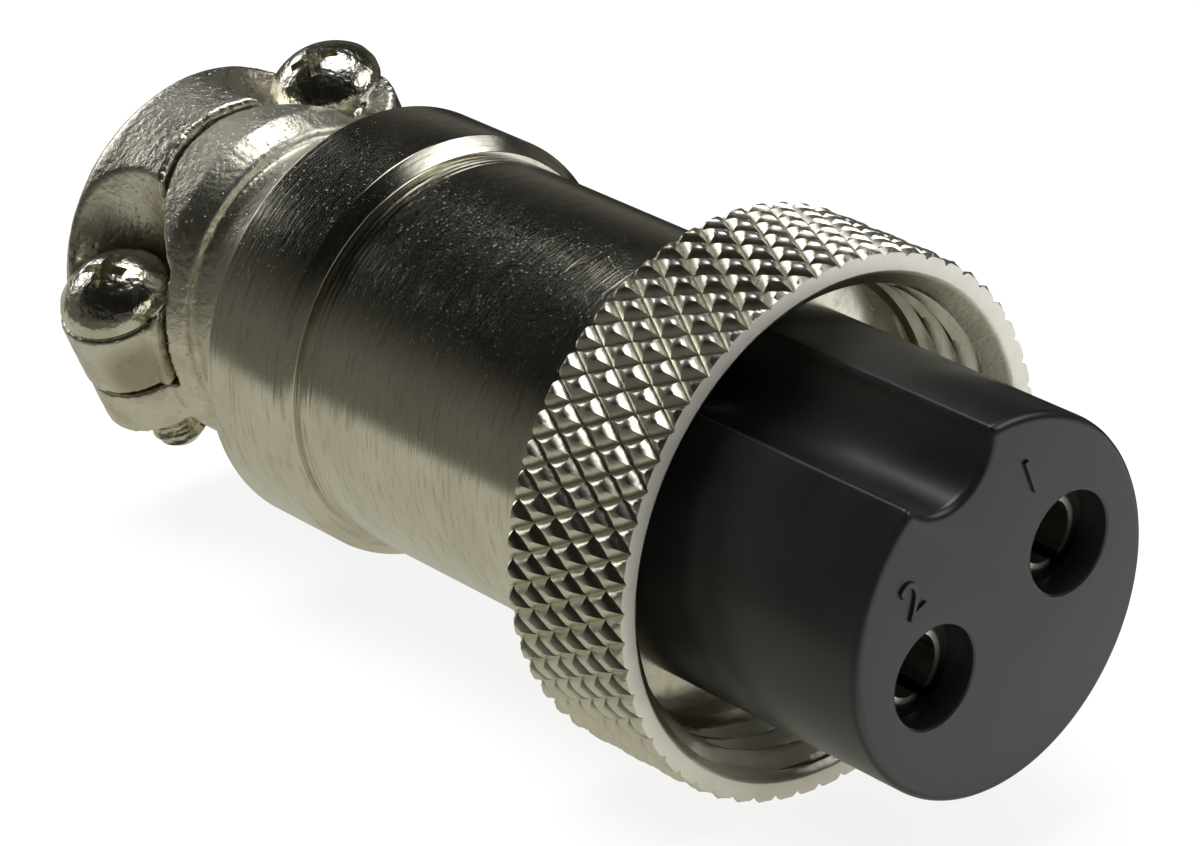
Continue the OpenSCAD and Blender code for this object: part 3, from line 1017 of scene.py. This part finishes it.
def makeNumeral(text, y, z):
    curve = bpy.data.curves.new("numeral", "FONT")
    curve.body = text
    curve.align_x = "CENTER"
    curve.align_y = "CENTER"
    curve.size = insert["numeralHeight"] / insert["capShare"]
    curve.extrude = insert["numeralRise"]
    curve.bevel_depth = insert["numeralEdge"]
    curve.offset = -insert["numeralEdge"]
    letter = bpy.data.objects.new("letter", curve)
    scene.collection.objects.link(letter)
    bpy.context.view_layer.update()
    mesh = bpy.data.meshes.new_from_object(letter.evaluated_get(bpy.context.evaluated_depsgraph_get()))
    bpy.data.objects.remove(letter)
    piece = bpy.data.objects.new("numeral" + text, mesh)
    scene.collection.objects.link(piece)
    # the letter's right goes to the plug's +Y, its up to +Z and its face to +X
    facing = Matrix(((0, 0, 1, 0), (1, 0, 0, y), (0, 1, 0, z), (0, 0, 0, 1)))
    mesh.transform(rollMatrix @ facing)
    mesh.materials.clear()
    mesh.materials.append(thermoset)
    smoothShading(piece, 40)
    return piece


insertMoulding = makeInsert()
numerals = [makeNumeral(*numeral) for numeral in insert["numerals"]]
print("insert made:", len(insertMoulding.data.polygons), "faces")


# Pieces go to their bodies, and the CAD nodes they stand for are hidden

def dress(piece, body, node):
    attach(piece, body)
    if node:
        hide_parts(node)


dress(couplingRing, "ring", "coupling_ring")
dress(barrelShell, "plug_body", "barrel")
dress(rearCollar, "plug_body", "rear_collar")
dress(clampCasting, "plug_body", "clamp_body")
dress(clampSaddle, "strap", "clamp_strap")
dress(nearScrew, "strap", "clamp_screw_1")
dress(farScrew, "strap", "clamp_screw_2")
dress(insertMoulding, "plug_body", "insert")
for numeral in numerals:
    dress(numeral, "plug_body", None)

for node, finish in (("contact_1", contactPlate), ("contact_2", contactPlate),
                     ("insert_sleeve", turnedNickel), ("lock_screw", plainSteel)):
    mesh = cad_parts[node].data
    mesh.materials.clear()
    mesh.materials.append(finish)
print("pieces dressed")


# Stage

stageLook = {
    "floorSize": 1.6,
    "floorGap": 0.02 * mm,           # below the ring's lowest point
    "floorGlow": 0.86,               # share of the floor's white that no shadow takes away
    "ambient": 0.40,                 # world strength for light that isn't seen directly
}

tent = {
    "radius": 0.5,
    "step": 5,                       # degrees from one panel to the next
    "horizon": (0.115, 0.112, 0.098),
    "crown": (0.006, 0.0058, 0.005),
    "crownHeight": 0.27,             # height above which the tent is nearly black
    # windows as lowest and highest azimuth, then lowest and highest elevation; azimuth 0 is +X, 90 is +Y
    "windows": ((30, 85, 30, 60), (160, 200, 10, 30), (95, 200, 60, 85)),
}

groundShade = {
    "x": (-0.52, 0.002),
    "y": (-0.52, 0.52),
    "frontY": -0.012,                # ahead of the plug the shade keeps to the side of this line
    "near": (0.48, 0.47, 0.40),
    "far": (0.12, 0.118, 0.10),
    "behind": (0.025, 0.024, 0.02),
    "reach": (0.022, 0.030),         # distance from the axis where near gives way to far
    "backShare": 1.8,                # how much sooner that happens behind the plug
    "backFade": 0.01,
    "ragged": 0.008,
    "lift": 0.05 * mm,
}

lampAim = (-15 * mm, 0, 0)
lamps = {                            # place, size, watts and whether reflections show it
    "topLamp": ((-0.05, -0.10, 0.42), (0.30, 0.30), 2.6, False),
    "crownWindow": ((-0.13, 0.10, 0.43), (0.20, 0.20), 0.55, True),
    "rightWindow": ((0.19, 0.29, 0.31), (0.22, 0.16), 0.22, True),
    "rearWindow": ((-0.44, 0.0, 0.15), (0.24, 0.12), 0.20, True),
}


# 1 for what is seen directly, by reflection or through glass, and diffuseLevel for the rest
def rayShare(g, diffuseLevel):
    outputs = g.node("ShaderNodeLightPath").socket.node.outputs
    camera, glossy, through = [Field(g, outputs["Is " + kind + " Ray"])
                               for kind in ("Camera", "Glossy", "Transmission")]
    direct = (camera + glossy + through).lowest(1)
    return diffuseLevel + direct * (1 - diffuseLevel)


def makeWorld():
    world = bpy.data.worlds.new("studio")
    scene.world = world
    world.use_nodes = True
    world.node_tree.nodes.clear()
    g = Graph(world.node_tree)
    strength = rayShare(g, stageLook["ambient"])
    sky = g.node("ShaderNodeBackground", {}, {"Color": (1, 1, 1, 1), "Strength": strength})
    g.node("ShaderNodeOutputWorld", {}, {"Surface": sky})


def makeFloor():
    half = stageLook["floorSize"] / 2
    z = -ringRadius - stageLook["floorGap"]
    material, g = newFinish("paleFloor")
    paper = g.noise(g.objectPlace(), 60, 3.0)
    tone = g.mixColour(paper * 0.5, (0.93, 0.93, 0.92, 1), (0.90, 0.90, 0.89, 1))
    matte = g.node("ShaderNodeBsdfDiffuse", {}, {"Color": tone})
    glow = g.node("ShaderNodeEmission", {}, {"Color": (1, 1, 1, 1), "Strength": 1.0})
    share = rayShare(g, 0.0) * stageLook["floorGlow"]
    mixed = g.node("ShaderNodeMixShader", {}, {0: share, 1: matte, 2: glow})
    g.node("ShaderNodeOutputMaterial", {}, {"Surface": mixed})
    points = [(-half, -half, z), (half, -half, z), (half, half, z), (-half, half, z)]
    floor = newPiece("floor", points, [(0, 1, 2, 3)], material)


def onlyReflected(piece):  # the stage piece shapes reflections and is seen by no other ray
    piece.visible_camera = False
    piece.visible_diffuse = False
    piece.visible_shadow = False


def glowOnly(graph, colour):
    shader = graph.node("ShaderNodeEmission", {}, {"Color": colour, "Strength": 1.0})
    graph.node("ShaderNodeOutputMaterial", {}, {"Surface": shader})


def domePoint(azimuth, elevation):
    a, e = math.radians(azimuth), math.radians(elevation)
    r = tent["radius"]
    return (r * math.cos(e) * math.cos(a), r * math.cos(e) * math.sin(a), r * math.sin(e))


def isWindow(azimuth, elevation):
    return any(a0 < azimuth < a1 and e0 < elevation < e1 for a0, a1, e0, e1 in tent["windows"])


def makeTent():  # dark panels all round, with windows left open
    step = tent["step"]
    points, faces = [], []
    for azimuth in range(0, 360, step):
        for elevation in range(-step, 90, step):
            if isWindow(azimuth + step / 2, elevation + step / 2):
                continue
            start = len(points)
            points += [domePoint(azimuth + da, elevation + de)
                       for da, de in ((0, 0), (step, 0), (step, step), (0, step))]
            faces.append((start, start + 3, start + 2, start + 1))
    material, g = newFinish("darkTent")
    height = g.node("ShaderNodeSeparateXYZ", {}, {0: g.objectPlace()}, output="Z")
    tone = g.mixColour(height.between(0.0, tent["crownHeight"]), (*tent["horizon"], 1), (*tent["crown"], 1))
    glowOnly(g, tone)
    onlyReflected(newPiece("darkTent", points, faces, material))


def makeGroundShade():  # the darker ground beside the plug that its lower side reflects
    (x0, x1), (y0, y1) = groundShade["x"], groundShade["y"]
    z = -ringRadius + groundShade["lift"]
    material, g = newFinish("groundShade")
    place = g.objectPlace()
    across = g.node("ShaderNodeSeparateXYZ", {}, {0: place}, output="Y")
    away = (across * groundShade["backShare"]).highest(across * -1)
    edge = away + (g.noise(place, 60, 2.0) - 0.5) * groundShade["ragged"]
    backward = across.between(0.0, groundShade["backFade"])
    far = g.mixColour(backward, (*groundShade["far"], 1), (*groundShade["behind"], 1))
    tone = g.mixColour(edge.between(*groundShade["reach"]), (*groundShade["near"], 1), far)
    front = groundShade["frontY"]
    points = [(x0, y0, z), (-x0, y0, z), (-x0, front, z), (x1, front, z), (x1, y1, z), (x0, y1, z)]
    glowOnly(g, tone)
    onlyReflected(newPiece("groundShade", points, [tuple(range(6))], material))


def makeLamp(name, middle, size, power, reflected):
    lamp = bpy.data.lights.new(name, "AREA")
    lamp.shape = "RECTANGLE"
    lamp.size, lamp.size_y = size
    lamp.energy = power
    holder = bpy.data.objects.new(name, lamp)
    scene.collection.objects.link(holder)
    holder.location = middle
    holder.rotation_mode = "QUATERNION"
    holder.rotation_quaternion = (Vector(lampAim) - Vector(middle)).to_track_quat("-Z", "Y")
    holder.visible_glossy = reflected


makeWorld()
makeFloor()
makeTent()
makeGroundShade()
for name, values in lamps.items():
    makeLamp(name, *values)


# Camera

camera = {
    "place": (85.6 * mm, -59.10 * mm, 99.27 * mm),      # in the plug's own frame
    "forward": (-0.66545, 0.38131, -0.64171),
    "up": (-0.31864, 0.63231, 0.70615),
    "lens": 146.9,
    "clip": (0.005, 10),
}


def makeCamera():
    data = bpy.data.cameras.new("camera")
    data.lens = camera["lens"]
    data.clip_start, data.clip_end = camera["clip"]
    holder = bpy.data.objects.new("camera", data)
    scene.collection.objects.link(holder)
    forward = atPlug(*camera["forward"]).normalized()
    up = atPlug(*camera["up"])
    right = forward.cross(up).normalized()
    up = right.cross(forward)
    turn = Matrix((right, up, -forward)).transposed().to_4x4()
    holder.matrix_world = Matrix.Translation(atPlug(*camera["place"])) @ turn
    scene.camera = holder


makeCamera()
scene.view_settings.view_transform = "Standard"
print("stage, lamps and camera set")
